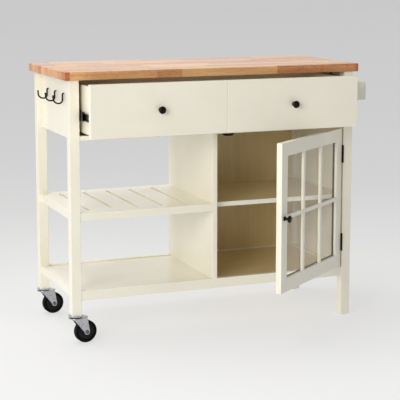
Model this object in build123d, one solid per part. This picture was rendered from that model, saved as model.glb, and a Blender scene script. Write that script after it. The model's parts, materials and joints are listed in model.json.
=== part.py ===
"""Kitchen island cart: a butcher-block top on a painted frame with a wide drawer, a slatted shelf,
a bottom shelf, a glazed cabinet, two swivel casters, coat hooks and a towel bar.

Millimetres. +X to the right, +Y to the back, +Z up. The origin is on the floor under the middle of
the worktop. The drawer is stored pulled out and the door ajar; every other piece is stored at rest.
"""

import os

from build123d import *

os.makedirs("parts", exist_ok=True)

# ---------------------------------------------------------------- driving dimensions
# worktop
COUNTER_HEIGHT = 914.0
TOP_WIDTH = 1076.0
TOP_DEPTH = 461.0
TOP_THICKNESS = 28.0
TOP_EDGE_RADIUS = 2.0

# legs and frame
FRAME_WIDTH = 1044.0
FRAME_DEPTH = 441.0
LEG = 34.0
LEG_EASE = 1.5
FOOT_CHAMFER = 3.0
GLIDE_HEIGHT = 2.0
GLIDE_RADIUS = 11.0
EASE = 0.8

# rails: heights above the floor
RAIL_RECESS = 2.0
RAIL_THICKNESS = 20.0
BOTTOM_RAIL_Z = (147.0, 181.0)
SHELF_RAIL_Z = (419.0, 445.0)
DECK_Z = (687.0, 702.0)
SHELF_RAIL_DEPTH = 42.0
SIDE_RAIL_THICKNESS = 25.0
SIDE_RAIL_HEIGHT = 28.0

# panels
PANEL = 16.0
RIGHT_PANEL = (504.0, 518.0)
REAR_APRON = 16.0
BOTTOM_SHELF_LIP = 4.0
DIVIDER_CENTRE_X = -5.6
BACK_PANEL_Y = (205.0, 211.0)
CABINET_SHELF_TOP = 443.0
CABINET_SHELF_Y = (-186.0, 184.0)
SIDE_GAP = 0.6
LEDGER = 12.0

# slatted shelf
SLAT_THICKNESS = 15.0
SLAT_GAP = 10.0
SLAT_PITCH = 87.0
FIRST_GAP_OFFSET = 42.0
SLAT_GAPS = 5

# dowels and shelf pins
DOWEL_RADIUS = 4.0
DOWEL_LENGTH = 30.0
PIN_RADIUS = 2.5
PIN_LENGTH = 17.0
PIN_DEPTH = 8.0
PIN_Y = 140.0

# drawer
DRAWER_PULL = 109.0
DRAWER_FRONT = (482.5, 703.5, 879.0)
DRAWER_FRONT_THICKNESS = 20.0
DRAWER_SIDE_Z = (712.0, 870.0)
DRAWER_SIDE_THICKNESS = 12.0
DRAWER_LENGTH = 380.0
DRAWER_BOTTOM_Z = (722.0, 728.0)
GROOVE_WIDTH = 3.0
GROOVE_DEPTH = 2.0

# drawer slides: a channel section 12.7 wide and 35 high
SLIDE_WIDTH = 12.7
SLIDE_CENTRE_Z = 768.5
SLIDE_SHEET = 1.2
SLIDE_OUTER_Y = (-197.0, 183.0)
SLIDE_MIDDLE_Y = (-190.0, 150.0)
SLIDE_INNER_Y = (-195.0, 165.0)

# door
DOOR_Z = (183.5, 684.5)
DOOR_WIDTH = 478.0
DOOR_THICKNESS = 20.0
DOOR_OPEN_ANGLE = 38.2
STILE = 42.0
TOP_RAIL = 45.0
BOTTOM_RAIL = 47.0
MUNTIN = 13.5
LIP = 9.0
REBATE = 8.0
GLASS = 4.0

# door hinges
HINGE_AXIS = (486.05, -222.4)
HINGE_EDGE_X = 484.0
HINGE_Z = (242.0, 562.0)
HINGE_HEIGHT = 60.0
LEAF = 1.5
LEAF_WIDTH = 22.0
LEAF_SCREW = 13.0
KNUCKLE_RADIUS = 2.8
KNUCKLE_GAP = 0.3
HINGE_PIN_RADIUS = 1.5
PIN_CLEARANCE = 0.05

# magnetic catch
CATCH_X = (37.0, 73.0)
CATCH_Y = (-197.0, -175.0)
CATCH_HEIGHT = 12.0
CATCH_TAPER = 5.0

# knobs
KNOB_RADIUS = 12.5
KNOB_LENGTH = 24.0
KNOB_SCREW_RADIUS = 2.0
KNOB_Z = 791.0
DOOR_KNOB_Z = 434.0

# casters
CASTER_HEIGHT = 97.0
WHEEL_RADIUS = 38.0
WHEEL_WIDTH = 22.0
TRAIL = 34.0
TRAIL_ANGLE = 6.0
STEM_RADIUS = 5.5
STEM_LENGTH = 40.0
CROWN_Z = (86.2, 89.2)
FORK_HALF_WIDTH = 17.5
FORK_SHEET = 2.5
FORK_FOLD_X = 7.0
AXLE_RADIUS = 4.0
KINGPIN_RADIUS = 4.0
BALL_RADIUS = 1.9
BALL_CIRCLE = 16.0
BALL_COUNT = 12

# hooks on the left panel
HOOK_SPACING = 97.0
HOOK_WIRE = 2.7
HOOK_TOP_Z = 833.0
HOOK_BOTTOM_Z = 800.0
HOOK_REACH = 32.0
HOOK_TIP_Z = 825.0
HOOK_BENDS = (11.0, 18.0)

# towel bar on the right legs
BRACKET_REACH = 56.0
BRACKET_Z = (783.0, 848.0)
BRACKET_THICKNESS = 20.0
BAR_RADIUS = 9.5
BAR_OFFSET = 34.0
BAR_Z = 815.0

# ---------------------------------------------------------------- worked-out positions
TOP_UNDERSIDE = COUNTER_HEIGHT - TOP_THICKNESS
LEG_X = FRAME_WIDTH / 2
LEG_Y = FRAME_DEPTH / 2
INNER_X = LEG_X - LEG
INNER_Y = LEG_Y - LEG
LEG_CENTRE_X = LEG_X - LEG / 2
LEG_CENTRE_Y = LEG_Y - LEG / 2
FACE_Y = LEG_Y - RAIL_RECESS
RAIL_BACK_Y = FACE_Y - RAIL_THICKNESS
SIDE_RAIL_X = INNER_X + SIDE_RAIL_THICKNESS
DIVIDER_X = (DIVIDER_CENTRE_X - PANEL / 2, DIVIDER_CENTRE_X + PANEL / 2)
BOTTOM_SHELF_TOP = BOTTOM_RAIL_Z[1] - BOTTOM_SHELF_LIP
SLAT_END_Y = FACE_Y - SHELF_RAIL_DEPTH
DOOR_FACE_Y = -FACE_Y
DOOR_FREE_X = HINGE_EDGE_X - DOOR_WIDTH
HALF_FRONTS = (
    (-DRAWER_FRONT[0] + DIVIDER_CENTRE_X) / 2,
    (DRAWER_FRONT[0] + DIVIDER_CENTRE_X) / 2,
)


# ---------------------------------------------------------------- helpers
def block(x, y, z, ease=0.0):
    """A box between two X, two Y and two Z values, with its edges eased by a small radius."""
    size = (x[1] - x[0], y[1] - y[0], z[1] - z[0])
    middle = ((x[0] + x[1]) / 2, (y[0] + y[1]) / 2, (z[0] + z[1]) / 2)
    solid = Pos(*middle) * Box(*size)
    return fillet(solid.edges(), ease) if ease else solid


def rod(radius, start, end):
    """A round bar between two points that differ along one axis only."""
    a, b = Vector(*start), Vector(*end)
    plane = Plane(origin=a, z_dir=(b - a).normalized())
    return extrude(plane * Circle(radius), (b - a).length)


def save(name, *solids):
    """Write one node, which may be a group of separate solids."""
    shapes = [solid for item in solids for solid in item.solids()]
    node = shapes[0] if len(shapes) == 1 else Compound(shapes)
    export_step(node, os.path.join("parts", f"{name}.step"))


def mirrored(pair):
    """The same stretch on the other side of zero."""
    return (-pair[1], -pair[0])


# ---------------------------------------------------------------- dowels
def dowel_sites():
    """Centre and direction of the wooden dowel at the end of each rail."""
    sites = []
    middle = (FACE_Y + RAIL_BACK_Y) / 2
    bottom_z = sum(BOTTOM_RAIL_Z) / 2
    shelf_y = FACE_Y - SHELF_RAIL_DEPTH / 3
    shelf_z = sum(SHELF_RAIL_Z) / 2
    deck_z = sum(DECK_Z) / 2
    for side in (-1, 1):
        for x in (-INNER_X, INNER_X):
            sites.append(((x, side * middle, bottom_z), "x"))
            sites.append(((x, side * middle, deck_z), "x"))
        for x in (-INNER_X, DIVIDER_X[0]):
            sites.append(((x, side * shelf_y, shelf_z), "x"))
        low_z = BOTTOM_RAIL_Z[1] - SIDE_RAIL_HEIGHT / 2
        mid_z = SHELF_RAIL_Z[1] - SIDE_RAIL_HEIGHT / 2
        rail_x = INNER_X + SIDE_RAIL_THICKNESS / 2
        sites.append(((-rail_x, side * INNER_Y, low_z), "y"))
        sites.append(((rail_x, side * INNER_Y, low_z), "y"))
        sites.append(((-rail_x, side * INNER_Y, mid_z), "y"))
    return sites


def dowel(site):
    (x, y, z), axis = site
    reach = DOWEL_LENGTH / 2
    if axis == "x":
        reach_in_panel = 8.0 if x == DIVIDER_X[0] else reach
        return rod(DOWEL_RADIUS, (x - reach, y, z), (x + reach_in_panel, y, z))
    return rod(DOWEL_RADIUS, (x, y - reach, z), (x, y + reach, z))


DOWELS = [dowel(site) for site in dowel_sites()]


def drilled(board):
    """The board with a hole for every dowel that enters it."""
    box = board.bounding_box()
    for peg in DOWELS:
        other = peg.bounding_box()
        apart = any(
            getattr(box.max, a) <= getattr(other.min, a) or getattr(box.min, a) >= getattr(other.max, a)
            for a in ("X", "Y", "Z")
        )
        if not apart:
            board = board - peg
    return board


# ---------------------------------------------------------------- worktop and its brackets
def bracket_sites():
    """Corner of each angle bracket under the worktop, and the direction it faces."""
    inside = INNER_X
    sites = [((-inside, y), (1, 0)) for y in (-90.0, 90.0)]
    sites += [((RIGHT_PANEL[0], y), (-1, 0)) for y in (-90.0, 90.0)]
    sites += [((x, FACE_Y - REAR_APRON), (0, -1)) for x in (-250.0, 250.0)]
    return sites


def placed(site, solid):
    """Turn a piece that faces +X at the origin to face the site's direction, under the worktop."""
    (x, y), facing = site
    turn = {(1, 0): 0, (-1, 0): 180, (0, -1): -90}[facing]
    return Pos(x, y, TOP_UNDERSIDE) * Rot(0, 0, turn) * solid


def worktop_bracket():
    upright = block((0, 2), (-9, 9), (-18, 0))
    flange = block((0, 16), (-9, 9), (-2, 0))
    hole_up = rod(2.0, (10, 0, -3), (10, 0, 1))
    hole_side = rod(2.0, (-1, 0, -11), (3, 0, -11))
    return upright + flange - hole_up - hole_side


def worktop_screw():
    """One screw up into the worktop and one into the panel, for one bracket."""
    up = rod(2.0, (10, 0, -2), (10, 0, 14)) + rod(3.6, (10, 0, -3.6), (10, 0, -2))
    across = rod(2.0, (2, 0, -11), (-9, 0, -11)) + rod(3.6, (3.6, 0, -11), (2, 0, -11))
    return [up, across]


def bracket_holes(solid):
    for site in bracket_sites():
        for screw in worktop_screw():
            solid = solid - placed(site, screw)
    return solid


def worktop():
    x, y = TOP_WIDTH / 2, TOP_DEPTH / 2
    slab = block((-x, x), (-y, y), (TOP_UNDERSIDE, COUNTER_HEIGHT), TOP_EDGE_RADIUS)
    return bracket_holes(slab)


# ---------------------------------------------------------------- legs
def towel_screw_sites():
    """Height and Y of the long screws that hold the towel-bar brackets."""
    return [(side * LEG_CENTRE_Y, z) for side in (-1, 1) for z in (BRACKET_Z[0] + 17.5, BRACKET_Z[1] - 13)]


def towel_screw(y, z):
    """A screw sunk flush in the leg's inner face, through the leg and into the bracket."""
    shank = rod(2.4, (INNER_X, y, z), (LEG_X + 25, y, z))
    head = rod(4.5, (INNER_X, y, z), (INNER_X + 2.4, y, z))
    return shank + head


def leg(x_side, y_side):
    on_caster = x_side < 0
    foot = CASTER_HEIGHT if on_caster else GLIDE_HEIGHT
    x = (LEG_X - LEG, LEG_X) if x_side > 0 else (-LEG_X, -LEG_X + LEG)
    y = (LEG_Y - LEG, LEG_Y) if y_side > 0 else (-LEG_Y, -LEG_Y + LEG)
    post = block(x, y, (foot, TOP_UNDERSIDE))
    if not on_caster:
        post = chamfer(post.faces().sort_by(Axis.Z)[0].edges(), FOOT_CHAMFER)
    post = fillet(post.edges().filter_by(Axis.Z), LEG_EASE)
    if on_caster:
        post = post - rod(
            STEM_RADIUS,
            (x_side * LEG_CENTRE_X, y_side * LEG_CENTRE_Y, foot),
            (x_side * LEG_CENTRE_X, y_side * LEG_CENTRE_Y, foot + STEM_LENGTH),
        )
    else:
        for y_screw, z in towel_screw_sites():
            if y_screw * y_side > 0:
                post = post - towel_screw(y_screw, z)
    return drilled(post)


def foot_glide(y_side):
    centre = (LEG_CENTRE_X, y_side * LEG_CENTRE_Y)
    pad = rod(GLIDE_RADIUS, (*centre, 0), (*centre, GLIDE_HEIGHT))
    return chamfer(pad.faces().sort_by(Axis.Z)[0].edges(), 0.6)


# ---------------------------------------------------------------- rails and panels
def cross_rail(z, side, depth=RAIL_THICKNESS, x=(-INNER_X, INNER_X)):
    """A rail along X, flush with the recessed front (side -1) or back (side 1) face."""
    y = (FACE_Y - depth, FACE_Y)
    return drilled(block(x, y if side > 0 else mirrored(y), z, EASE))


def drawer_deck():
    """The board between the drawer and the bays below it, as deep as the frame."""
    return drilled(block((-INNER_X, INNER_X), (-FACE_Y, FACE_Y), DECK_Z, EASE))


def side_rail(top_z, side):
    """A rail along Y between the legs of one side."""
    x = (INNER_X, SIDE_RAIL_X)
    z = (top_z - SIDE_RAIL_HEIGHT, top_z)
    return drilled(block(x if side > 0 else mirrored(x), (-INNER_Y, INNER_Y), z, EASE))


def left_panel():
    x = (-INNER_X - PANEL, -INNER_X)
    panel = block(x, (-INNER_Y, INNER_Y), (DECK_Z[0], TOP_UNDERSIDE), EASE)
    for y in (-HOOK_SPACING, 0.0, HOOK_SPACING):
        panel = panel - rod(HOOK_WIRE, (x[0] - 1, y, HOOK_TOP_Z), (x[0] + 11, y, HOOK_TOP_Z))
    return bracket_holes(panel)


def right_panel():
    z = (BOTTOM_RAIL_Z[1], TOP_UNDERSIDE)
    panel = block(RIGHT_PANEL, (-INNER_Y, INNER_Y), z, EASE)
    for y in (-PIN_Y, PIN_Y):
        panel = panel - shelf_pin(RIGHT_PANEL[0], y, 1)
    return bracket_holes(panel)


def slide_packer():
    """The block that brings the right panel out to the legs' inner faces, behind the slide."""
    z = (SLIDE_CENTRE_Z - 22, SLIDE_CENTRE_Z + 22)
    return block((INNER_X, RIGHT_PANEL[0]), (-INNER_Y, INNER_Y), z)


def rear_apron():
    z = (DECK_Z[1], TOP_UNDERSIDE)
    return bracket_holes(block((-INNER_X, INNER_X), (FACE_Y - REAR_APRON, FACE_Y), z, EASE))


def bottom_shelf():
    z = (BOTTOM_SHELF_TOP - PANEL, BOTTOM_SHELF_TOP)
    return block((-INNER_X, INNER_X), (-RAIL_BACK_Y, RAIL_BACK_Y), z)


def bottom_ledger(side):
    z = (BOTTOM_SHELF_TOP - PANEL - LEDGER, BOTTOM_SHELF_TOP - PANEL)
    y = (RAIL_BACK_Y - LEDGER, RAIL_BACK_Y)
    return block((-INNER_X + 6, INNER_X - 6), y if side > 0 else mirrored(y), z)


def divider():
    """The upright between the open bays and the cabinet, notched over the bottom rails."""
    z = (BOTTOM_SHELF_TOP, DECK_Z[0])
    panel = block(DIVIDER_X, (-FACE_Y, FACE_Y), z, EASE)
    for side in (-1, 1):
        y = (RAIL_BACK_Y, FACE_Y + 1)
        notch_x = (DIVIDER_X[0] - 1, DIVIDER_X[1] + 1)
        notch_z = (z[0] - 1, BOTTOM_RAIL_Z[1])
        panel = panel - block(notch_x, y if side > 0 else mirrored(y), notch_z)
    for y in (-PIN_Y, PIN_Y):
        panel = panel - shelf_pin(DIVIDER_X[1], y, -1)
    return drilled(panel)


def cabinet_back():
    return block((DIVIDER_X[1], INNER_X), BACK_PANEL_Y, (BOTTOM_RAIL_Z[1], DECK_Z[0]))


def cabinet_shelf():
    x = (DIVIDER_X[1] + SIDE_GAP, RIGHT_PANEL[0] - SIDE_GAP)
    return block(x, CABINET_SHELF_Y, (CABINET_SHELF_TOP - PANEL, CABINET_SHELF_TOP), EASE)


def shelf_pin(x, y, into):
    """A shelf support pin that enters a panel face at x, in the direction given by into."""
    z = CABINET_SHELF_TOP - PANEL - PIN_RADIUS
    return rod(PIN_RADIUS, (x + into * PIN_DEPTH, y, z), (x - into * (PIN_LENGTH - PIN_DEPTH), y, z))


# ---------------------------------------------------------------- slatted shelf
def slat_edges():
    """Left and right edge of each slat, across the bay between the left legs and the divider."""
    start, end = -INNER_X, DIVIDER_X[0]
    centres = [start + FIRST_GAP_OFFSET + SLAT_PITCH * i for i in range(SLAT_GAPS)]
    lefts = [start] + [c + SLAT_GAP / 2 for c in centres]
    rights = [c - SLAT_GAP / 2 for c in centres] + [end]
    return list(zip(lefts, rights))


def slat(x):
    z = (SHELF_RAIL_Z[1] - SLAT_THICKNESS, SHELF_RAIL_Z[1])
    return block(x, (-SLAT_END_Y, SLAT_END_Y), z, EASE)


def slat_ledger(side):
    z = (SHELF_RAIL_Z[0], SHELF_RAIL_Z[1] - SLAT_THICKNESS)
    y = (SLAT_END_Y - LEDGER, SLAT_END_Y)
    return block((-INNER_X, DIVIDER_X[0]), y if side > 0 else mirrored(y), z)


# ---------------------------------------------------------------- hooks and towel bar
def hook(y):
    """A bent wire hook: a shank in the panel, a straight stem, a round bottom and a short tip."""
    face = -INNER_X - PANEL
    stem_x = face - 2 * HOOK_WIRE
    tip_x = stem_x - HOOK_REACH
    shank = (face + 10, y, HOOK_TOP_Z)
    corner = (stem_x, y, HOOK_TOP_Z)
    low_in = (stem_x, y, HOOK_BOTTOM_Z)
    low_out = (tip_x, y, HOOK_BOTTOM_Z)
    tip = (tip_x, y, HOOK_TIP_Z)
    path = FilletPolyline(shank, corner, low_in, low_out, tip, radius=[1.4 * HOOK_WIRE, *HOOK_BENDS])
    wire = sweep(Plane(origin=shank, z_dir=(-1, 0, 0)) * Circle(HOOK_WIRE), path=path)
    ball = Pos(tip_x, y, HOOK_TIP_Z) * Sphere(HOOK_WIRE * 1.3)
    return wire + ball


def towel_bracket(side):
    """A block arm on the outside of a right leg, with a blind hole for the bar."""
    y_mid = side * LEG_CENTRE_Y
    y = (y_mid - BRACKET_THICKNESS / 2, y_mid + BRACKET_THICKNESS / 2)
    arm = block((LEG_X, LEG_X + BRACKET_REACH), y, BRACKET_Z)
    outer_edges = arm.edges().filter_by(Axis.Y).group_by(Axis.X)[-1]
    arm = fillet(outer_edges, 5.0)
    x = LEG_X + BAR_OFFSET
    arm = arm - rod(BAR_RADIUS, (x, y_mid, BAR_Z), (x, y_mid - side * BRACKET_THICKNESS, BAR_Z))
    for y_screw, z in towel_screw_sites():
        if y_screw * side > 0:
            arm = arm - rod(2.4, (LEG_X, y_screw, z), (LEG_X + 25, y_screw, z))
    return arm


def towel_bar():
    x = LEG_X + BAR_OFFSET
    return rod(BAR_RADIUS, (x, -LEG_CENTRE_Y, BAR_Z), (x, LEG_CENTRE_Y, BAR_Z))


# ---------------------------------------------------------------- casters
def caster_place(side):
    return Pos(-LEG_CENTRE_X, side * LEG_CENTRE_Y, 0) * Rot(0, 0, TRAIL_ANGLE)


def caster_ball_z():
    return CROWN_Z[1] + 0.2 + BALL_RADIUS


def caster_stem():
    """The stem in the leg, the round upper race and the kingpin, as one turned piece."""
    race_z = (caster_ball_z() + 1.0, CASTER_HEIGHT)
    race = rod(24.0, (0, 0, race_z[0]), (0, 0, race_z[1]))
    race = fillet(race.edges().group_by(Axis.Z)[0], 1.5)
    groove = Pos(0, 0, caster_ball_z()) * Torus(BALL_CIRCLE, BALL_RADIUS + 0.05)
    stem = rod(STEM_RADIUS, (0, 0, CASTER_HEIGHT), (0, 0, CASTER_HEIGHT + STEM_LENGTH))
    kingpin = rod(KINGPIN_RADIUS, (0, 0, CROWN_Z[0] - 3), (0, 0, race_z[0] + 1))
    rivet = rod(7.0, (0, 0, CROWN_Z[0] - 3), (0, 0, CROWN_Z[0] - 0.3))
    rivet = fillet(rivet.edges().group_by(Axis.Z)[0], 1.2)
    return race - groove + stem + kingpin + rivet


def caster_balls():
    step = 360.0 / BALL_COUNT
    return [
        Rot(0, 0, step * i) * Pos(BALL_CIRCLE, 0, caster_ball_z()) * Sphere(BALL_RADIUS)
        for i in range(BALL_COUNT)
    ]


def fork_plate():
    """One flat side of the fork: it narrows from the crown to a round end at the axle."""
    axle = Circle(9.5).moved(Location((TRAIL, WHEEL_RADIUS)))
    top = Polygon((FORK_FOLD_X, CROWN_Z[0]), (36, CROWN_Z[0]), (38, 74), (FORK_FOLD_X, 76), align=None)
    outline = make_hull([*axle.edges(), *top.edges()])
    return extrude(Plane.XZ * outline, FORK_SHEET)


def fork_facet(side):
    """The front part of a fork side, folded outwards so that it meets the crown's rim."""
    y = side * FORK_HALF_WIDTH
    fold_top = Vector(FORK_FOLD_X, y, CROWN_Z[0] + 1)
    fold_foot = Vector(TRAIL - 8.5, y, WHEEL_RADIUS - 2)
    rim = Vector(-14, y + side * 3.2, CROWN_Z[0] + 1)
    face = make_face(Polyline(fold_top, fold_foot, rim, close=True))
    normal = (fold_foot - fold_top).cross(rim - fold_top).normalized()
    inward = normal if normal.Y * side < 0 else -normal
    return extrude(face, FORK_SHEET, dir=inward)


def caster_fork():
    disc = Circle(25.0)
    tail = Circle(FORK_HALF_WIDTH).moved(Location((43.0 - FORK_HALF_WIDTH, 0)))
    crown_outline = make_hull([*disc.edges(), *tail.edges()])
    crown = extrude(Pos(0, 0, CROWN_Z[0]) * crown_outline, CROWN_Z[1] - CROWN_Z[0])
    crown = fillet(crown.edges().group_by(Axis.Z)[-1], 1.5)
    near = Pos(0, -FORK_HALF_WIDTH + FORK_SHEET, 0) * fork_plate()
    far = Pos(0, FORK_HALF_WIDTH, 0) * fork_plate()
    fork = crown + near + far + fork_facet(-1) + fork_facet(1)
    fork = fork - rod(KINGPIN_RADIUS + PIN_CLEARANCE, (0, 0, CROWN_Z[0] - 1), (0, 0, CROWN_Z[1] + 1))
    return fork - rod(AXLE_RADIUS, (TRAIL, -30, WHEEL_RADIUS), (TRAIL, 30, WHEEL_RADIUS))


def caster_axle():
    """A bolt through the fork with a round head on one side and a hexagon nut on the other."""
    reach = FORK_HALF_WIDTH
    shank = rod(AXLE_RADIUS, (TRAIL, -reach, WHEEL_RADIUS), (TRAIL, reach + 6.5, WHEEL_RADIUS))
    head = rod(6.5, (TRAIL, -reach - 3.5, WHEEL_RADIUS), (TRAIL, -reach, WHEEL_RADIUS))
    head = fillet(head.edges().group_by(Axis.Y)[0], 1.5)
    nut_plane = Plane(origin=(TRAIL, reach, WHEEL_RADIUS), z_dir=(0, 1, 0))
    nut = extrude(nut_plane * RegularPolygon(7.5, 6), 5.0)
    return shank + head + nut


def wheel_ring(outer, inner, width, radius):
    start, end = (TRAIL, -width / 2, WHEEL_RADIUS), (TRAIL, width / 2, WHEEL_RADIUS)
    ring = rod(outer, start, end)
    ring = fillet(ring.edges(), radius)
    return ring - rod(inner, start, end)


def caster_tyre():
    return wheel_ring(WHEEL_RADIUS, 28.0, WHEEL_WIDTH, 3.0)


def caster_hub():
    """The wheel centre: a web with a longer boss that runs on the axle."""
    web = wheel_ring(28.0, 12.0, WHEEL_WIDTH - 4, 0.8)
    boss = wheel_ring(12.0, AXLE_RADIUS + PIN_CLEARANCE, 2 * (FORK_HALF_WIDTH - FORK_SHEET) - 0.8, 0.8)
    return web + boss


# ---------------------------------------------------------------- drawer
def pulled(solid):
    return Pos(0, -DRAWER_PULL, 0) * solid


def knob():
    """A turned knob that points along -Y, with its foot at the origin."""
    profile = [
        (0, 0), (8, 0), (8, 2), (5.2, 4), (4.6, 9), (5.4, 13), (10, 15.5), (KNOB_RADIUS, 18),
        (KNOB_RADIUS, 20), (9, 23), (0, KNOB_LENGTH),
    ]
    face = make_face(Polyline(*profile, close=True))
    turned = revolve(face, Axis.Y)
    sharp = turned.edges().filter_by(GeomType.CIRCLE).filter_by(lambda e: e.radius > 8.5)
    turned = fillet(sharp, 0.7)
    hole = rod(KNOB_SCREW_RADIUS, (0, 0, 0), (0, 12, 0))
    return Rot(180, 0, 0) * (turned - hole)


def knob_screw(panel_thickness):
    """The screw from behind the panel into the knob, in the same position as the knob."""
    shank = rod(KNOB_SCREW_RADIUS, (0, -11, 0), (0, panel_thickness, 0))
    head = rod(4.5, (0, panel_thickness, 0), (0, panel_thickness + 2.2, 0))
    return shank + head


def drawer_front():
    half, low, high = DRAWER_FRONT
    y = (-FACE_Y, -FACE_Y + DRAWER_FRONT_THICKNESS)
    front = block((-half, half), y, (low, high), EASE)
    w, d = GROOVE_WIDTH / 2, GROOVE_DEPTH
    vee = make_face(Polyline((-w, 0), (w, 0), (0, d), close=True))
    cutter = extrude(Pos(DIVIDER_CENTRE_X, -FACE_Y, low - 1) * vee, high - low + 2)
    front = front - cutter
    for x in HALF_FRONTS:
        front = front - rod(KNOB_SCREW_RADIUS, (x, y[0] - 1, KNOB_Z), (x, y[1] + 1, KNOB_Z))
    return front


def drawer_y():
    start = -FACE_Y + DRAWER_FRONT_THICKNESS
    return (start, start + DRAWER_LENGTH)


def drawer_side(side):
    outer = INNER_X - SLIDE_WIDTH
    x = (outer - DRAWER_SIDE_THICKNESS, outer)
    board = block(x if side > 0 else mirrored(x), drawer_y(), DRAWER_SIDE_Z, EASE)
    return board - drawer_bottom()


def drawer_back():
    inner = INNER_X - SLIDE_WIDTH - DRAWER_SIDE_THICKNESS
    end = drawer_y()[1]
    z = (DRAWER_BOTTOM_Z[1], DRAWER_SIDE_Z[1])
    return block((-inner, inner), (end - DRAWER_SIDE_THICKNESS, end), z, EASE)


def drawer_bottom():
    half = INNER_X - SLIDE_WIDTH - DRAWER_SIDE_THICKNESS / 2
    return block((-half, half), drawer_y(), DRAWER_BOTTOM_Z)


# ---------------------------------------------------------------- drawer slides
def channel(wall_u, reach_u, half_height, y, open_side):
    """A sheet channel for the right-hand slide. u is the distance from the legs' inner faces.

    wall_u is where its web lies, reach_u how far its two flanges go.
    """
    web_u = (wall_u, wall_u + SLIDE_SHEET) if open_side > 0 else (wall_u - SLIDE_SHEET, wall_u)
    web_x = (INNER_X - web_u[1], INNER_X - web_u[0])
    flange_x = (INNER_X - max(wall_u, reach_u), INNER_X - min(wall_u, reach_u))
    z0 = SLIDE_CENTRE_Z
    section = block(web_x, y, (z0 - half_height, z0 + half_height))
    for side in (-1, 1):
        edge = z0 + side * half_height
        inner = edge - side * SLIDE_SHEET
        section = section + block(flange_x, y, (min(edge, inner), max(edge, inner)))
    return section


def flipped(solid, side):
    """The right-hand piece, or its mirror image for the left."""
    return solid if side > 0 else solid.mirror(Plane.YZ)


def slide_outer(side):
    return flipped(channel(0.0, 10.0, 17.5, SLIDE_OUTER_Y, 1), side)


def slide_middle(side):
    return flipped(channel(3.0, 11.0, 14.6, SLIDE_MIDDLE_Y, 1), side)


def slide_inner(side):
    return flipped(channel(SLIDE_WIDTH, 5.0, 11.8, SLIDE_INNER_Y, -1), side)


# ---------------------------------------------------------------- door
def opened(solid):
    """Swing a piece of the closed door about the hinge pin to the angle it stands at."""
    hinge = Pos(*HINGE_AXIS, 0)
    return hinge * Rot(0, 0, DOOR_OPEN_ANGLE) * Pos(-HINGE_AXIS[0], -HINGE_AXIS[1], 0) * solid


def door_y():
    return (DOOR_FACE_Y, DOOR_FACE_Y + DOOR_THICKNESS)


def sight_x():
    return (DOOR_FREE_X + STILE, HINGE_EDGE_X - STILE)


def sight_z():
    return (DOOR_Z[0] + BOTTOM_RAIL, DOOR_Z[1] - TOP_RAIL)


def glass_pocket():
    x, z = sight_x(), sight_z()
    y = (DOOR_FACE_Y + LIP, DOOR_FACE_Y + DOOR_THICKNESS + 1)
    return block((x[0] - REBATE, x[1] + REBATE), y, (z[0] - REBATE, z[1] + REBATE))


def door_stile(hinge_side):
    x = (sight_x()[1], HINGE_EDGE_X) if hinge_side else (DOOR_FREE_X, sight_x()[0])
    stile = block(x, door_y(), DOOR_Z, EASE) - glass_pocket()
    if not hinge_side:
        knob_x = DOOR_FREE_X + STILE / 2
        front, back = door_y()
        start = (knob_x, front - 1, DOOR_KNOB_Z)
        stile = stile - rod(KNOB_SCREW_RADIUS, start, (knob_x, back + 1, DOOR_KNOB_Z))
    return stile


def door_rail(top):
    z = (sight_z()[1], DOOR_Z[1]) if top else (DOOR_Z[0], sight_z()[0])
    return block(sight_x(), door_y(), z, EASE) - glass_pocket()


def muntin_centres():
    left, right = sight_x()
    pane = (right - left - 2 * MUNTIN) / 3
    return [left + pane + MUNTIN / 2, right - pane - MUNTIN / 2]


def muntin_upright(x):
    y = (DOOR_FACE_Y, DOOR_FACE_Y + LIP)
    return block((x - MUNTIN / 2, x + MUNTIN / 2), y, sight_z(), EASE)


def muntin_cross_bars():
    """Three short bars between the stiles and the uprights, at mid-height."""
    y = (DOOR_FACE_Y, DOOR_FACE_Y + LIP)
    middle = sum(sight_z()) / 2
    first, second = muntin_centres()
    half = MUNTIN / 2
    stretches = [(sight_x()[0], first - half), (first + half, second - half), (second + half, sight_x()[1])]
    return [block(x, y, (middle - half, middle + half), EASE) for x in stretches]


def door_glass():
    x, z = sight_x(), sight_z()
    grow = REBATE - 1.0
    y = (DOOR_FACE_Y + LIP, DOOR_FACE_Y + LIP + GLASS)
    return block((x[0] - grow, x[1] + grow), y, (z[0] - grow, z[1] + grow))


def glass_beads():
    """Four strips that hold the glass against the lip from behind."""
    x, z = sight_x(), sight_z()
    y = (DOOR_FACE_Y + LIP + GLASS, DOOR_FACE_Y + DOOR_THICKNESS - 1)
    r = REBATE
    return [
        block((x[0] - r, x[0]), y, (z[0] - r, z[1] + r)),
        block((x[1], x[1] + r), y, (z[0] - r, z[1] + r)),
        block((x[0], x[1]), y, (z[0] - r, z[0])),
        block((x[0], x[1]), y, (z[1], z[1] + r)),
    ]


# ---------------------------------------------------------------- door hinges and catch
def knuckle_spans(z, door_side):
    """Heights of the barrel pieces of one leaf: the outer two, or the middle one."""
    third = HINGE_HEIGHT / 3
    if door_side:
        return [(z + third + KNUCKLE_GAP / 2, z + 2 * third - KNUCKLE_GAP / 2)]
    return [(z, z + third - KNUCKLE_GAP / 2), (z + 2 * third + KNUCKLE_GAP / 2, z + HINGE_HEIGHT)]


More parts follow.
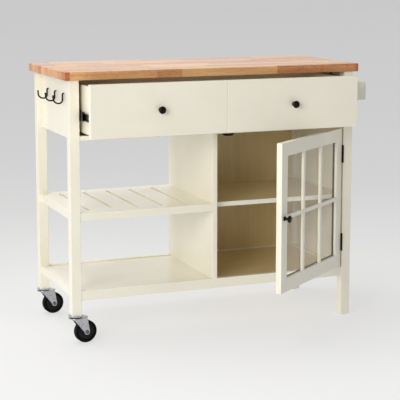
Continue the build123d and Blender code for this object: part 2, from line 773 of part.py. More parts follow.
def hinge_leaf(z, door_side):
    """One leaf of a butt hinge, with its barrel pieces, for the closed door."""
    x0 = HINGE_EDGE_X if door_side else INNER_X - LEAF
    ax, ay = HINGE_AXIS
    leaf = block((x0, x0 + LEAF), (ay, ay + LEAF_WIDTH), (z, z + HINGE_HEIGHT))
    clear = KNUCKLE_RADIUS + KNUCKLE_GAP
    for low, high in knuckle_spans(z, not door_side):
        leaf = leaf - rod(clear, (ax, ay, low - KNUCKLE_GAP), (ax, ay, high + KNUCKLE_GAP))
    for low, high in knuckle_spans(z, door_side):
        leaf = leaf + rod(KNUCKLE_RADIUS, (ax, ay, low), (ax, ay, high))
    bore = HINGE_PIN_RADIUS + (PIN_CLEARANCE if door_side else 0)
    leaf = leaf - rod(bore, (ax, ay, z - 1), (ax, ay, z + HINGE_HEIGHT + 1))
    for dz in (12.0, HINGE_HEIGHT - 12.0):
        leaf = leaf - rod(2.0, (x0 - 1, ay + LEAF_SCREW, z + dz), (x0 + LEAF + 1, ay + LEAF_SCREW, z + dz))
    return max(leaf.solids(), key=lambda s: s.volume)


def hinge_pin(z):
    ax, ay = HINGE_AXIS
    shaft = rod(HINGE_PIN_RADIUS, (ax, ay, z), (ax, ay, z + HINGE_HEIGHT))
    caps = [
        rod(KNUCKLE_RADIUS, (ax, ay, z - 1.6), (ax, ay, z)),
        rod(KNUCKLE_RADIUS, (ax, ay, z + HINGE_HEIGHT), (ax, ay, z + HINGE_HEIGHT + 1.6)),
    ]
    return shaft + caps[0] + caps[1]


def hinge_screws(door_side):
    """Countersunk screws, flush with the leaf, in the leaf's two holes."""
    x = HINGE_EDGE_X + LEAF if door_side else INNER_X - LEAF
    into = -1 if door_side else 1
    y = HINGE_AXIS[1] + LEAF_SCREW
    heights = [z + dz for z in HINGE_Z for dz in (12.0, HINGE_HEIGHT - 12.0)]
    return [rod(2.0, (x, y, z), (x + into * 16, y, z)) for z in heights]


def without(solid, cutters):
    for cutter in cutters:
        solid = solid - cutter
    return solid


def catch_case():
    """The magnetic catch's case, under the drawer deck, open at the front for its magnet."""
    z = (DECK_Z[0] - CATCH_HEIGHT, DECK_Z[0])
    case = block(CATCH_X, CATCH_Y, z)
    low_ends = case.edges().filter_by(Axis.Y).group_by(Axis.Z)[0]
    case = chamfer(low_ends, CATCH_TAPER)
    return case - catch_magnet()


def catch_magnet():
    x = (CATCH_X[0] + 8, CATCH_X[1] - 8)
    z = DECK_Z[0] - CATCH_HEIGHT
    return block(x, (CATCH_Y[0], CATCH_Y[0] + 14), (z + 3, z + 9))


def catch_plate():
    """The steel plate on the back of the free stile that the magnet holds."""
    back = DOOR_FACE_Y + DOOR_THICKNESS
    x = (DOOR_FREE_X + 14, DOOR_FREE_X + 40)
    return block(x, (back, back + 1.0), (DOOR_Z[1] - 16, DOOR_Z[1] - 1))


# ---------------------------------------------------------------- write every node
def write_frame():
    save("worktop", worktop())
    save("worktop_brackets", *[placed(site, worktop_bracket()) for site in bracket_sites()])
    save("front_left_leg", leg(-1, -1))
    save("rear_left_leg", leg(-1, 1))
    save("front_right_leg", without(leg(1, -1), hinge_screws(False)))
    save("rear_right_leg", leg(1, 1))
    save("foot_glides", foot_glide(-1), foot_glide(1))
    save("frame_dowels", *DOWELS)
    save("bottom_rails", *[cross_rail(BOTTOM_RAIL_Z, side) for side in (-1, 1)])
    save("drawer_deck", drawer_deck())
    shelf_x = (-INNER_X, DIVIDER_X[0])
    shelf_rails = [cross_rail(SHELF_RAIL_Z, side, SHELF_RAIL_DEPTH, shelf_x) for side in (-1, 1)]
    save("shelf_rails", *shelf_rails)
    side_rails = [
        side_rail(BOTTOM_RAIL_Z[1], -1),
        side_rail(BOTTOM_RAIL_Z[1], 1),
        side_rail(SHELF_RAIL_Z[1], -1),
    ]
    save("side_rails", *side_rails)


def write_panels():
    save("left_hook_panel", left_panel())
    save("right_side_panel", right_panel())
    save("slide_packer", slide_packer())
    save("rear_apron", rear_apron())
    save("bottom_shelf", bottom_shelf())
    save("centre_divider", divider())
    save("cabinet_back", cabinet_back())
    save("cabinet_shelf", cabinet_shelf())
    pins = [shelf_pin(DIVIDER_X[1], y, -1) for y in (-PIN_Y, PIN_Y)]
    pins += [shelf_pin(RIGHT_PANEL[0], y, 1) for y in (-PIN_Y, PIN_Y)]
    save("shelf_pins", *pins)
    save("shelf_slats", *[slat(x) for x in slat_edges()])
    ledgers = [bottom_ledger(-1), bottom_ledger(1), slat_ledger(-1), slat_ledger(1)]
    save("shelf_ledgers", *ledgers)


def write_fittings():
    save("panel_hooks", *[hook(y) for y in (-HOOK_SPACING, 0.0, HOOK_SPACING)])
    save("towel_brackets", towel_bracket(-1), towel_bracket(1))
    save("towel_bar", towel_bar())
    save("magnetic_catch", catch_case(), catch_magnet())
    save("cabinet_hinge_leaves", *[hinge_leaf(z, False) for z in HINGE_Z])
    save("hinge_pins", *[hinge_pin(z) for z in HINGE_Z])
    screws = [placed(site, screw) for site in bracket_sites() for screw in worktop_screw()]
    screws += [towel_screw(y, z) for y, z in towel_screw_sites()]
    screws += hinge_screws(False)
    save("frame_screws", *screws)


def write_casters():
    save("caster_stems", *[caster_place(side) * caster_stem() for side in (-1, 1)])
    save("caster_balls", *[caster_place(side) * ball for side in (-1, 1) for ball in caster_balls()])
    for name, side in (("front", -1), ("rear", 1)):
        place = caster_place(side)
        save(f"{name}_caster_fork", place * caster_fork())
        save(f"{name}_caster_axle", place * caster_axle())
        save(f"{name}_caster_tyre", place * caster_tyre())
        save(f"{name}_caster_hub", place * caster_hub())


def write_drawer():
    save("drawer_front", pulled(drawer_front()))
    save("drawer_sides", pulled(drawer_side(-1)), pulled(drawer_side(1)))
    save("drawer_back", pulled(drawer_back()))
    save("drawer_bottom", pulled(drawer_bottom()))
    knob_places = [Pos(x, -FACE_Y, KNOB_Z) for x in HALF_FRONTS]
    save("drawer_knobs", *[pulled(place * knob()) for place in knob_places])
    screws = [pulled(place * knob_screw(DRAWER_FRONT_THICKNESS)) for place in knob_places]
    save("drawer_knob_screws", *screws)
    save("slide_outer_members", slide_outer(-1), slide_outer(1))
    half_way = Pos(0, -DRAWER_PULL / 2, 0)
    save("slide_middle_members", half_way * slide_middle(-1), half_way * slide_middle(1))
    save("slide_inner_members", pulled(slide_inner(-1)), pulled(slide_inner(1)))


def write_door():
    save("door_free_stile", opened(door_stile(False)))
    save("door_hinge_stile", opened(without(door_stile(True), hinge_screws(True))))
    save("door_top_rail", opened(door_rail(True)))
    save("door_bottom_rail", opened(door_rail(False)))
    bars = [muntin_upright(x) for x in muntin_centres()] + muntin_cross_bars()
    save("door_glazing_bars", *[opened(bar) for bar in bars])
    save("door_glass", opened(door_glass()))
    save("glass_beads", *[opened(bead) for bead in glass_beads()])
    knob_place = Pos(DOOR_FREE_X + STILE / 2, DOOR_FACE_Y, DOOR_KNOB_Z)
    save("door_knob", opened(knob_place * knob()))
    save("door_hinge_leaves", *[opened(hinge_leaf(z, True)) for z in HINGE_Z])
    screws = [knob_place * knob_screw(DOOR_THICKNESS)] + hinge_screws(True)
    save("door_screws", *[opened(screw) for screw in screws])
    save("catch_plate", opened(catch_plate()))


write_frame()
write_panels()
write_fittings()
write_casters()
write_drawer()
write_door()
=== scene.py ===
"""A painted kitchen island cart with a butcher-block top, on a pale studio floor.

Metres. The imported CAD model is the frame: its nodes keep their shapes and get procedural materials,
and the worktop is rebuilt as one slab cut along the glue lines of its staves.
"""

import json
import math
import random

import bmesh
import bpy
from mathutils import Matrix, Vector

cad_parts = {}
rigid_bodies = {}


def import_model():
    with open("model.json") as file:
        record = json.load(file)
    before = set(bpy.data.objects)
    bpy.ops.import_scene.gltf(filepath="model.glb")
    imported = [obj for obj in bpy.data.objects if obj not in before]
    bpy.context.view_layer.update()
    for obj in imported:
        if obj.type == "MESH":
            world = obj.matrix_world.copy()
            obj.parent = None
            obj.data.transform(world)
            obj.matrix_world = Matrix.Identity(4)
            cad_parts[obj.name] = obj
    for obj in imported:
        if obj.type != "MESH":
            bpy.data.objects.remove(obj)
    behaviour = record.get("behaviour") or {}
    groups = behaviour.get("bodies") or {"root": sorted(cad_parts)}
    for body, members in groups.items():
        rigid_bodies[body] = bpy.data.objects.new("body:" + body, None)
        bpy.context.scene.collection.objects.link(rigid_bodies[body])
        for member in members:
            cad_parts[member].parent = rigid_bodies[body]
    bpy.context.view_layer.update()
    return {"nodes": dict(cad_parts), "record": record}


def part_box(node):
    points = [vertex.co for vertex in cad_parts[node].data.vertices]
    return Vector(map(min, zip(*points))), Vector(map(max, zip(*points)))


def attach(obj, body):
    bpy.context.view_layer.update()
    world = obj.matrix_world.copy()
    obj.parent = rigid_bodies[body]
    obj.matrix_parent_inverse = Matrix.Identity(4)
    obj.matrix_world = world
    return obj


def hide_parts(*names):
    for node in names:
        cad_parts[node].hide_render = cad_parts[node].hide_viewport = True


# ---------------------------------------------------------------- camera and studio
CAMERA_PLACE = (-1.7031, -4.3053, 1.2518)
CAMERA_YAW = 21.88
CAMERA_PITCH = 8.42
CAMERA_LENS = 117.43
CAMERA_SHIFT = -0.10
CAMERA_SENSOR = 36.0
CAMERA_REACH = 200.0
FLOOR_RINGS = (3.0, 6.0, 12.0, 25.0, 50.0, 90.0)
FLOOR_SIDES = 64
FLOOR_GLOW = 0.66
FLOOR_NEAR_FADE = (-1.0, 2.2)
FLOOR_FAR_FADE = (3.0, 30.0)
WALL_BRIGHT_SIDE = (-0.6, 1.0, 0.0)
WALL_TURN = (0.1, 0.7)
WALL_STRENGTH = (0.22, 0.95)
LAMP_COLOUR = (1.0, 0.99, 0.97)
KEY_LAMP = {"place": (-3.3, -3.1, 1.9), "target": (0.1, 0, 0.55), "size": 2.2, "power": 116}
TOP_LAMP = {"place": (-0.9, 0.3, 3.5), "target": (0, 0, 0.2), "size": 2.4, "power": 60}

# ---------------------------------------------------------------- worktop staves
STAVE_ROWS = 11
EDGE_RADIUS = 0.002
FRONT_BREAKS = (-0.521, -0.220, -0.130, 0.221, 0.526)
FRONT_TONES = (1.0, 0.36, 0.55, 0.24, 0.7, 1.0)
STAVE_LENGTHS = (0.16, 0.42)
STAVE_SHORTEST_END = 0.05
ROW_SLACK = 0.001

# ---------------------------------------------------------------- the cabinet's interior, where shade is painted into the boards
CABINET_LEFT = 0.003
CABINET_FRONT = -0.184
CABINET_REAR = 0.2055

# ---------------------------------------------------------------- finishes of single nodes
GRAIN_Z = (
    "front_left_leg",
    "rear_left_leg",
    "front_right_leg",
    "rear_right_leg",
    "centre_divider",
    "right_side_panel",
    "door_free_stile",
    "door_hinge_stile",
)
GRAIN_Y = (
    "side_rails",
    "shelf_slats",
    "drawer_sides",
    "left_hook_panel",
    "towel_bar",
    "slide_packer",
    "towel_brackets",
)
SPECIAL_FINISHES = {
    # the cabinet back and shelves carry painted shade within the cabinet
    "cabinet_back": "cabinet_back_painted_shade",
    "cabinet_shelf": "shelf_painted_shade",
    "bottom_shelf": "shelf_painted_shade",
    "front_caster_axle": "axle_steel",
    "rear_caster_axle": "axle_steel",
}


# ---------------------------------------------------------------- small helpers
def linear(r, g, b):
    """A screen colour, 0 to 255, as the linear colour that shaders take."""

    def channel(c):
        c = c / 255
        return c / 12.92 if c <= 0.04045 else ((c + 0.055) / 1.055) ** 2.4

    return (channel(r), channel(g), channel(b), 1.0)


def grey(level):
    return linear(level, level, level)


class Shader:
    """A material's node tree, with short calls for the nodes used here."""

    def __init__(self, name):
        self.material = bpy.data.materials.new(name)
        self.material.use_nodes = True
        self.nodes = self.material.node_tree.nodes
        self.links = self.material.node_tree.links
        self.bsdf = self.nodes["Principled BSDF"]
        self.place = self.nodes.new("ShaderNodeTexCoord").outputs["Object"]

    def put(self, value, socket):
        """Set a socket to a constant, or join another socket to it."""
        if isinstance(value, bpy.types.NodeSocket):
            self.links.new(value, socket)
        else:
            socket.default_value = value

    def stretched(self, scale=(1, 1, 1), offset=None):
        """Object coordinates scaled along each axis, with an optional offset socket."""
        node = self.nodes.new("ShaderNodeMapping")
        self.put(self.place, node.inputs["Vector"])
        node.inputs["Scale"].default_value = scale
        if offset is not None:
            self.put(offset, node.inputs["Location"])
        return node.outputs["Vector"]

    def noise(self, vector, scale=1.0, detail=4.0, roughness=0.55, distortion=0.0):
        node = self.nodes.new("ShaderNodeTexNoise")
        self.put(vector, node.inputs["Vector"])
        node.inputs["Scale"].default_value = scale
        node.inputs["Detail"].default_value = detail
        node.inputs["Roughness"].default_value = roughness
        node.inputs["Distortion"].default_value = distortion
        return node.outputs["Fac"]

    def spread(self, value, low_in, high_in, low_out, high_out):
        """The value mapped from one range to another, and held inside it."""
        node = self.nodes.new("ShaderNodeMapRange")
        self.put(value, node.inputs["Value"])
        node.inputs["From Min"].default_value = low_in
        node.inputs["From Max"].default_value = high_in
        node.inputs["To Min"].default_value = low_out
        node.inputs["To Max"].default_value = high_out
        return node.outputs["Result"]

    def mix(self, share, a, b, how="MIX"):
        node = self.nodes.new("ShaderNodeMix")
        node.data_type = "RGBA"
        node.blend_type = how
        self.put(share, node.inputs["Factor"])
        self.put(a, node.inputs["A"])
        self.put(b, node.inputs["B"])
        return node.outputs["Result"]

    def math(self, how, a, b):
        node = self.nodes.new("ShaderNodeMath")
        node.operation = how
        self.put(a, node.inputs[0])
        self.put(b, node.inputs[1])
        return node.outputs[0]

    def bump(self, height, strength, distance):
        node = self.nodes.new("ShaderNodeBump")
        self.put(height, node.inputs["Height"])
        node.inputs["Strength"].default_value = strength
        node.inputs["Distance"].default_value = distance
        self.links.new(node.outputs["Normal"], self.bsdf.inputs["Normal"])

    def set(self, **values):
        for name, value in values.items():
            self.put(value, self.bsdf.inputs[name.replace("_", " ").title().replace("Ior", "IOR")])


def along(axis, fine, coarse):
    """Scales for a grain that runs along one axis: coarse along it, fine across it."""
    return tuple(coarse if a == axis else fine for a in "xyz")


# ---------------------------------------------------------------- materials
def cream_clouds(s):
    """Cream in two close shades, in soft clouds."""
    clouds = s.noise(s.stretched(), 7.0, 3.0)
    return s.mix(s.spread(clouds, 0.3, 0.7, 0, 1), linear(242, 238, 221), linear(239, 233, 214))


def cream_paint(axis):
    """Satin cream paint over wood: the grain shows faintly, with soft clouding and fine orange peel."""
    s = Shader(f"cream_paint_{axis}")
    grain = s.noise(s.stretched(along(axis, 150, 4)), 1.0, 5.0, 0.6)
    peel = s.noise(s.stretched(), 900.0, 2.0)
    scuffs = s.noise(s.stretched(along(axis, 60, 22)), 1.0, 6.0, 0.7, 0.6)
    base = s.mix(s.spread(grain, 0.4, 0.8, 0, 0.07), cream_clouds(s), linear(219, 210, 184))
    base = s.mix(s.spread(scuffs, 0.7, 0.84, 0, 0.10), base, linear(210, 200, 174))
    s.set(base_color=base, roughness=s.spread(scuffs, 0.3, 0.75, 0.3, 0.44))
    s.set(coat_weight=0.6, coat_roughness=0.07, specular_ior_level=0.45)
    height = s.math("ADD", s.math("MULTIPLY", grain, 0.6), s.math("MULTIPLY", peel, 0.25))
    s.bump(height, 0.16, 0.00018)
    return s.material


def board_with_painted_shade(name, axis, is_back):
    """A board in cream paint, with painted shade within the cabinet: a darker brownish, grained colour
    where shade falls there.
    """
    s = Shader(name)
    bands = s.noise(s.stretched(along(axis, 55, 2.5)), 1.0, 3.0, 0.5, 0.3)
    fibre = s.noise(s.stretched(along(axis, 420, 14)), 1.0, 4.0, 0.6)
    # painted shade: a darker brownish colour with grain stands for the shade within the cabinet
    tan = s.mix(s.spread(bands, 0.3, 0.7, 0, 1), linear(230, 208, 160), linear(222, 199, 148))
    tan = s.mix(s.spread(fibre, 0.5, 0.8, 0, 0.12), tan, linear(200, 170, 118))
    parts = s.nodes.new("ShaderNodeSeparateXYZ")
    s.put(s.place, parts.inputs["Vector"])
    # the mask holds the faces within the cabinet, where the shade is painted
    if is_back:
        painted_shade_mask = s.math("LESS_THAN", parts.outputs["Y"], CABINET_REAR)
    else:
        right = s.math("GREATER_THAN", parts.outputs["X"], CABINET_LEFT)
        behind = s.math("GREATER_THAN", parts.outputs["Y"], CABINET_FRONT)
        painted_shade_mask = s.math("MULTIPLY", right, behind)
    s.set(base_color=s.mix(painted_shade_mask, cream_clouds(s), tan), roughness=s.spread(fibre, 0.3, 0.8, 0.34, 0.48))
    s.set(coat_weight=0.15 if is_back else 0.6, coat_roughness=0.07)
    s.bump(fibre, 0.12, 0.0001)
    return s.material


def butcher_block():
    """Oiled rubberwood staves. The stave attribute holds each stave's tone and two offsets, and a fourth
    value fixed at 1.
    """
    s = Shader("butcher_block")
    stave = s.nodes.new("ShaderNodeAttribute")
    stave.attribute_name = "stave"
    parts = s.nodes.new("ShaderNodeSeparateColor")
    s.links.new(stave.outputs["Color"], parts.inputs["Color"])
    tone, first, second = parts.outputs["Red"], parts.outputs["Green"], parts.outputs["Blue"]
    offset = s.nodes.new("ShaderNodeCombineXYZ")
    s.put(s.math("MULTIPLY", first, 37.0), offset.inputs["X"])
    s.put(s.math("MULTIPLY", second, 53.0), offset.inputs["Y"])
    s.put(s.math("MULTIPLY", first, 71.0), offset.inputs["Z"])
    shift = offset.outputs["Vector"]
    bands = s.noise(s.stretched((2.2, 62, 62), shift), 1.0, 3.0, 0.5, 0.4)
    fibre = s.noise(s.stretched((14, 300, 300), shift), 1.0, 5.0, 0.65)
    pores = s.noise(s.stretched((38, 520, 520), shift), 1.0, 2.0, 0.5)
    figure = s.noise(s.stretched((55, 120, 120), shift), 1.0, 4.0, 0.62, 1.4)
    light = s.mix(s.spread(bands, 0.32, 0.68, 0, 1), linear(248, 206, 148), linear(234, 181, 115))
    dark = s.mix(s.spread(bands, 0.32, 0.68, 0, 1), linear(206, 122, 64), linear(170, 92, 42))
    base = s.mix(tone, light, dark)
    base = s.mix(s.spread(fibre, 0.42, 0.72, 0, 0.34), base, linear(158, 98, 52))
    base = s.mix(s.spread(pores, 0.58, 0.7, 0, 0.42), base, linear(118, 70, 34))
    flame = s.math("MULTIPLY", s.spread(figure, 0.5, 0.62, 0, 0.55), s.spread(tone, 0.26, 0.5, 0.15, 1))
    base = s.mix(flame, base, linear(150, 84, 36))
    s.set(base_color=base, roughness=s.spread(fibre, 0.3, 0.8, 0.34, 0.5))
    s.set(specular_ior_level=0.4, coat_weight=0.4, coat_roughness=0.16)
    s.bump(s.math("ADD", fibre, s.math("MULTIPLY", pores, 0.6)), 0.3, 0.0002)
    return s.material


def raw_wood(name, pale, deep, axis):
    s = Shader(name)
    bands = s.noise(s.stretched(along(axis, 70, 3)), 1.0, 3.0, 0.5, 0.3)
    fibre = s.noise(s.stretched(along(axis, 500, 18)), 1.0, 4.0, 0.6)
    base = s.mix(s.spread(bands, 0.3, 0.7, 0, 1), pale, deep)
    base = s.mix(s.spread(fibre, 0.5, 0.75, 0, 0.3), base, linear(150, 108, 70))
    s.set(base_color=base, roughness=s.spread(fibre, 0.3, 0.8, 0.5, 0.66))
    s.bump(fibre, 0.3, 0.0002)
    return s.material


def dark_coat(name, colour, worn, metallic, roughness):
    """A dark finish on metal, with worn, slightly browner patches and a fine casting texture."""
    s = Shader(name)
    patches = s.noise(s.stretched(), 160.0, 5.0, 0.65)
    grit = s.noise(s.stretched(), 2200.0, 2.0)
    base = s.mix(s.spread(patches, 0.5, 0.8, 0, 0.7), colour, worn)
    s.set(base_color=base, metallic=metallic, specular_ior_level=0.2)
    s.set(roughness=s.spread(patches, 0.3, 0.8, roughness - 0.07, roughness + 0.12))
    s.bump(grit, 0.25, 0.00008)
    return s.material


def black_steel():
    """Black-plated rolled steel, with rub marks along the drawer's travel."""
    s = Shader("black_steel")
    rubs = s.noise(s.stretched((1500, 6, 1500)), 1.0, 3.0, 0.6)
    patches = s.noise(s.stretched(), 60.0, 4.0)
    base = s.mix(s.spread(rubs, 0.55, 0.8, 0, 0.5), linear(14, 12, 11), linear(56, 52, 48))
    s.set(base_color=base, metallic=0.5, roughness=s.spread(patches, 0.3, 0.7, 0.32, 0.48))
    s.bump(rubs, 0.15, 0.00005)
    return s.material


def zinc_steel():
    """Zinc-plated pressed steel: cool grey crystals, faint stains and rolling marks."""
    s = Shader("zinc_steel")
    crystals = s.nodes.new("ShaderNodeTexVoronoi")
    s.put(s.stretched(), crystals.inputs["Vector"])
    crystals.inputs["Scale"].default_value = 260.0
    stains = s.noise(s.stretched(), 85.0, 5.0, 0.6)
    marks = s.noise(s.stretched((90, 90, 1500)), 1.0, 3.0)
    cell = s.spread(crystals.outputs["Distance"], 0.0, 0.8, 0, 1)
    base = s.mix(cell, linear(206, 208, 211), linear(168, 170, 174))
    base = s.mix(s.spread(stains, 0.55, 0.8, 0, 0.5), base, linear(138, 132, 122))
    s.set(base_color=base, metallic=1.0, roughness=s.spread(stains, 0.3, 0.75, 0.12, 0.26))
    s.bump(s.math("ADD", marks, cell), 0.12, 0.00006)
    return s.material


def rubber():
    s = Shader("tyre_rubber")
    dust = s.noise(s.stretched(), 120.0, 5.0, 0.65)
    grain = s.noise(s.stretched(), 1800.0, 2.0)
    base = s.mix(s.spread(dust, 0.5, 0.8, 0, 0.5), linear(5, 5, 6), linear(18, 17, 16))
    s.set(base_color=base, roughness=s.spread(dust, 0.3, 0.8, 0.5, 0.72), specular_ior_level=0.1)
    s.bump(grain, 0.3, 0.00012)
    return s.material


def plastic(name, colour, dusty, roughness):
    s = Shader(name)
    patches = s.noise(s.stretched(), 90.0, 4.0)
    grain = s.noise(s.stretched(), 1400.0, 2.0)
    base = s.mix(s.spread(patches, 0.45, 0.8, 0, 0.5), colour, dusty)
    s.set(base_color=base, roughness=s.spread(patches, 0.3, 0.8, roughness - 0.08, roughness + 0.1))
    s.set(specular_ior_level=0.25)
    s.bump(grain, 0.2, 0.0001)
    return s.material


def clear_glass():
    """Float glass. Lamps shine through it without a shadow."""
    s = Shader("clear_glass")
    smears = s.noise(s.stretched(), 14.0, 4.0, 0.6)
    s.set(base_color=linear(252, 253, 252), transmission_weight=1.0, ior=1.33)
    s.set(roughness=s.spread(smears, 0.5, 0.8, 0.0, 0.05))
    path = s.nodes.new("ShaderNodeLightPath")
    clear = s.nodes.new("ShaderNodeBsdfTransparent")
    clear.inputs["Color"].default_value = (0.96, 0.96, 0.955, 1)
    both = s.nodes.new("ShaderNodeMixShader")
    s.links.new(path.outputs["Is Shadow Ray"], both.inputs[0])
    s.links.new(s.bsdf.outputs[0], both.inputs[1])
    s.links.new(clear.outputs[0], both.inputs[2])
    s.links.new(both.outputs[0], s.nodes["Material Output"].inputs["Surface"])
    return s.material


def studio_paper():
    """The pale floor. It glows a little, a painted light that keeps the shadows soft, and the glow is
    brightest in front.
    """
    s = Shader("studio_paper")
    parts = s.nodes.new("ShaderNodeSeparateXYZ")
    s.put(s.place, parts.inputs["Vector"])
    near = s.spread(parts.outputs["Y"], *FLOOR_NEAR_FADE, 0, 1)
    far = s.spread(parts.outputs["Y"], *FLOOR_FAR_FADE, 0, 1)
    clouds = s.noise(s.stretched(), 0.8, 2.0)
    # painted light: the glow is brightest near the front and dimmest far off, a pool of light in the
    # floor's emission
    tone = s.mix(near, grey(249), grey(223))
    tone = s.mix(far, tone, grey(215))
    tone = s.mix(s.spread(clouds, 0.3, 0.7, 0, 0.06), tone, grey(216))
    s.set(base_color=grey(142), roughness=0.9, specular_ior_level=0.1)
    s.set(emission_color=tone, emission_strength=FLOOR_GLOW)
    return s.material


def finishes():
    """A material for each record slot, with one per grain direction for paint, and the special finishes."""
    made = {f"cream_paint_{axis}": cream_paint(axis) for axis in "xyz"}
    made["butcher_block"] = butcher_block()
    # painted shade within the cabinet, on its back and on the shelves
    made["cabinet_back_painted_shade"] = board_with_painted_shade("cabinet_back_painted_shade", "z", True)
    made["shelf_painted_shade"] = board_with_painted_shade("shelf_painted_shade", "x", False)
    # painted shade: the glazing beads are made dark, as rubber, standing for the shade in the rebate beside
    # the glass
    made["glazing_rubber"] = plastic("glazing_rubber", linear(34, 30, 26), linear(58, 52, 46), 0.6)
    made["beech"] = raw_wood("beech", linear(222, 190, 150), linear(205, 168, 124), "x")
    made["plywood"] = raw_wood("plywood", linear(216, 188, 142), linear(202, 170, 122), "x")
    made["black_iron"] = dark_coat("black_iron", linear(9, 5, 4), linear(28, 17, 13), 0.05, 0.3)
    made["bronzed_steel"] = dark_coat("bronzed_steel", linear(26, 18, 14), linear(58, 42, 32), 0.5, 0.38)
    made["black_steel"] = black_steel()
    made["zinc_steel"] = zinc_steel()
    made["axle_steel"] = dark_coat("axle_steel", linear(104, 106, 106), linear(70, 66, 60), 0.9, 0.3)
    made["catch_plastic"] = plastic("catch_plastic", linear(10, 9, 9), linear(24, 22, 21), 0.5)
    made["nylon"] = plastic("nylon", linear(150, 147, 138), linear(120, 116, 106), 0.5)
    made["tyre_rubber"] = rubber()
    made["hub_plastic"] = plastic("hub_plastic", linear(5, 5, 6), linear(18, 18, 17), 0.42)
    made["clear_glass"] = clear_glass()
    return made


def paint_nodes(frame, made):
    """Give every carried-over CAD node the finish of its record slot."""
    slots = {row["node"]: row["material_slot"] for row in frame["record"]["subparts"]}
    for name, node in frame["nodes"].items():
        slot = slots[name]
        if slot == "cream_paint":
            axis = "z" if name in GRAIN_Z else "y" if name in GRAIN_Y else "x"
            slot = f"cream_paint_{axis}"
        slot = SPECIAL_FINISHES.get(name, slot)
        node.data.materials.clear()
        node.data.materials.append(made[slot])


# ---------------------------------------------------------------- worktop
def stave_breaks(low, high, rng):
    """Where one row's staves meet, at uneven lengths between its two ends."""
    breaks = []
    x = low + rng.uniform(STAVE_SHORTEST_END, STAVE_LENGTHS[1])
    while x < high - STAVE_SHORTEST_END:
        breaks.append(x)
        x += rng.uniform(*STAVE_LENGTHS)
    return breaks


def stave_rows(low, high):
    """Each row's front and back Y, the ends of its staves, and a colour value for each stave."""
    rng = random.Random(7)
    depth = (high.y - low.y) / STAVE_ROWS
    rows = []
    for i in range(STAVE_ROWS):
        breaks = list(FRONT_BREAKS) if i == 0 else stave_breaks(low.x, high.x, rng)
        tones = list(FRONT_TONES) if i == 0 else [rng.betavariate(1.6, 2.6) for _ in range(len(breaks) + 1)]
        values = [(tone, rng.random(), rng.random(), 1.0) for tone in tones]
        rows.append((low.y + i * depth, low.y + (i + 1) * depth, breaks, values))
    return rows


def cut(bm, faces, point, normal):
    """Split the faces where the plane through the point crosses them."""
    edges = {e for f in faces for e in f.edges}
    verts = {v for f in faces for v in f.verts}
    geometry = list(verts) + list(edges) + list(faces)
    bmesh.ops.bisect_plane(bm, geom=geometry, plane_co=point, plane_no=normal, dist=1e-6)


def slab(bm, low, high):
    """A box between two corners, with its edges rounded."""
    bmesh.ops.create_cube(bm, size=1.0)
    centre, size = (low + high) / 2, high - low
    for v in bm.verts:
        v.co = centre + Vector((v.co.x * size.x, v.co.y * size.y, v.co.z * size.z))
    bmesh.ops.bevel(
        bm, geom=list(bm.edges), offset=EDGE_RADIUS, offset_type="OFFSET", segments=4, profile=0.5,
        affect="EDGES",
    )


def make_worktop(material):
    """The slab with its faces cut along every glue line, and each stave's colour stored on its corners."""
    low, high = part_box("worktop")
    rows = stave_rows(low, high)
    bm = bmesh.new()
    slab(bm, low, high)
    for y, _, _, _ in rows[1:]:
        cut(bm, list(bm.faces), (0, y, 0), (0, 1, 0))
    for front, back, breaks, _ in rows:
        low_y, high_y = front - ROW_SLACK, back + ROW_SLACK
        for x in breaks:
            row_faces = [f for f in bm.faces if low_y < f.calc_center_median().y < high_y]
            cut(bm, row_faces, (x, 0, 0), (1, 0, 0))
    layer = bm.loops.layers.float_color.new("stave")
    for face in bm.faces:
        centre = face.calc_center_median()
        row = min(STAVE_ROWS - 1, max(0, int((centre.y - low.y) / (high.y - low.y) * STAVE_ROWS)))
        _, _, breaks, values = rows[row]
        value = values[sum(centre.x > x for x in breaks)]
        face.smooth = True
        for loop in face.loops:
            loop[layer] = value
    mesh = bpy.data.meshes.new("staved_worktop")
    bm.to_mesh(mesh)
    bm.free()
    mesh.materials.append(material)
    top = bpy.data.objects.new("staved_worktop", mesh)
    bpy.context.scene.collection.objects.link(top)
    top.modifiers.new("corner_normals", "WEIGHTED_NORMAL").keep_sharp = True
    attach(top, "cart")
    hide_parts("worktop")


# ---------------------------------------------------------------- studio
def make_floor(material):
    """A flat round floor, wide enough to fill the view at the camera's low angle."""
    points = [(0.0, 0.0, 0.0)]
    for radius in FLOOR_RINGS:
        for i in range(FLOOR_SIDES):
            a = 2 * math.pi * i / FLOOR_SIDES
            points.append((radius * math.cos(a), radius * math.sin(a), 0.0))
    faces = [(0, 1 + i, 1 + (i + 1) % FLOOR_SIDES) for i in range(FLOOR_SIDES)]
    for ring in range(len(FLOOR_RINGS) - 1):
        start = 1 + ring * FLOOR_SIDES
        for i in range(FLOOR_SIDES):
            j = (i + 1) % FLOOR_SIDES
            faces.append((start + i, start + FLOOR_SIDES + i, start + FLOOR_SIDES + j, start + j))
    mesh = bpy.data.meshes.new("studio_floor")
    mesh.from_pydata(points, [], faces)
    mesh.materials.append(material)
    floor = bpy.data.objects.new("studio_floor", mesh)
    bpy.context.scene.collection.objects.link(floor)


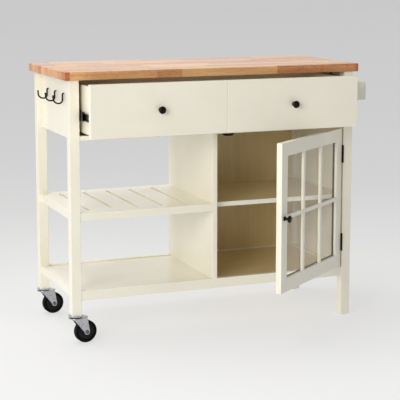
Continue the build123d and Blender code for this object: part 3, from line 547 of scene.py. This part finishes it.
def make_lamp(name, place, target, size, power):
    """A square lamp at one point, turned to face another, and hidden from the camera."""
    data = bpy.data.lights.new(name, "AREA")
    data.shape = "SQUARE"
    data.size = size
    data.energy = power
    data.color = LAMP_COLOUR
    lamp = bpy.data.objects.new(name, data)
    lamp.location = place
    lamp.visible_camera = False
    lamp.rotation_euler = (Vector(target) - Vector(place)).to_track_quat("-Z", "Y").to_euler()
    bpy.context.scene.collection.objects.link(lamp)


def make_light():
    """Two soft lamps, and studio walls that are brightest behind the cart and to its left."""
    world = bpy.data.worlds.new("studio")
    world.use_nodes = True
    nodes, links = world.node_tree.nodes, world.node_tree.links
    background = nodes["Background"]
    background.inputs["Color"].default_value = grey(252)
    heading = nodes.new("ShaderNodeTexCoord")
    towards = nodes.new("ShaderNodeVectorMath")
    towards.operation = "DOT_PRODUCT"
    links.new(heading.outputs["Generated"], towards.inputs[0])
    towards.inputs[1].default_value = WALL_BRIGHT_SIDE
    walls = nodes.new("ShaderNodeMapRange")
    links.new(towards.outputs["Value"], walls.inputs["Value"])
    walls.inputs["From Min"].default_value = WALL_TURN[0]
    walls.inputs["From Max"].default_value = WALL_TURN[1]
    walls.inputs["To Min"].default_value = WALL_STRENGTH[0]
    walls.inputs["To Max"].default_value = WALL_STRENGTH[1]
    links.new(walls.outputs["Result"], background.inputs["Strength"])
    bpy.context.scene.world = world
    make_lamp("key_lamp", **KEY_LAMP)
    make_lamp("top_lamp", **TOP_LAMP)


def make_camera():
    data = bpy.data.cameras.new("camera")
    data.lens = CAMERA_LENS
    data.sensor_width = CAMERA_SENSOR
    data.shift_y = CAMERA_SHIFT
    data.clip_end = CAMERA_REACH
    camera = bpy.data.objects.new("camera", data)
    camera.location = CAMERA_PLACE
    camera.rotation_euler = (math.radians(90 - CAMERA_PITCH), 0, math.radians(-CAMERA_YAW))
    bpy.context.scene.collection.objects.link(camera)
    bpy.context.scene.camera = camera


def clear_scene():
    for item in list(bpy.data.objects):
        bpy.data.objects.remove(item)


clear_scene()
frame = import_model()
made = finishes()
paint_nodes(frame, made)
make_worktop(made["butcher_block"])
make_floor(studio_paper())
make_light()
make_camera()
bpy.context.scene.view_settings.view_transform = "Standard"
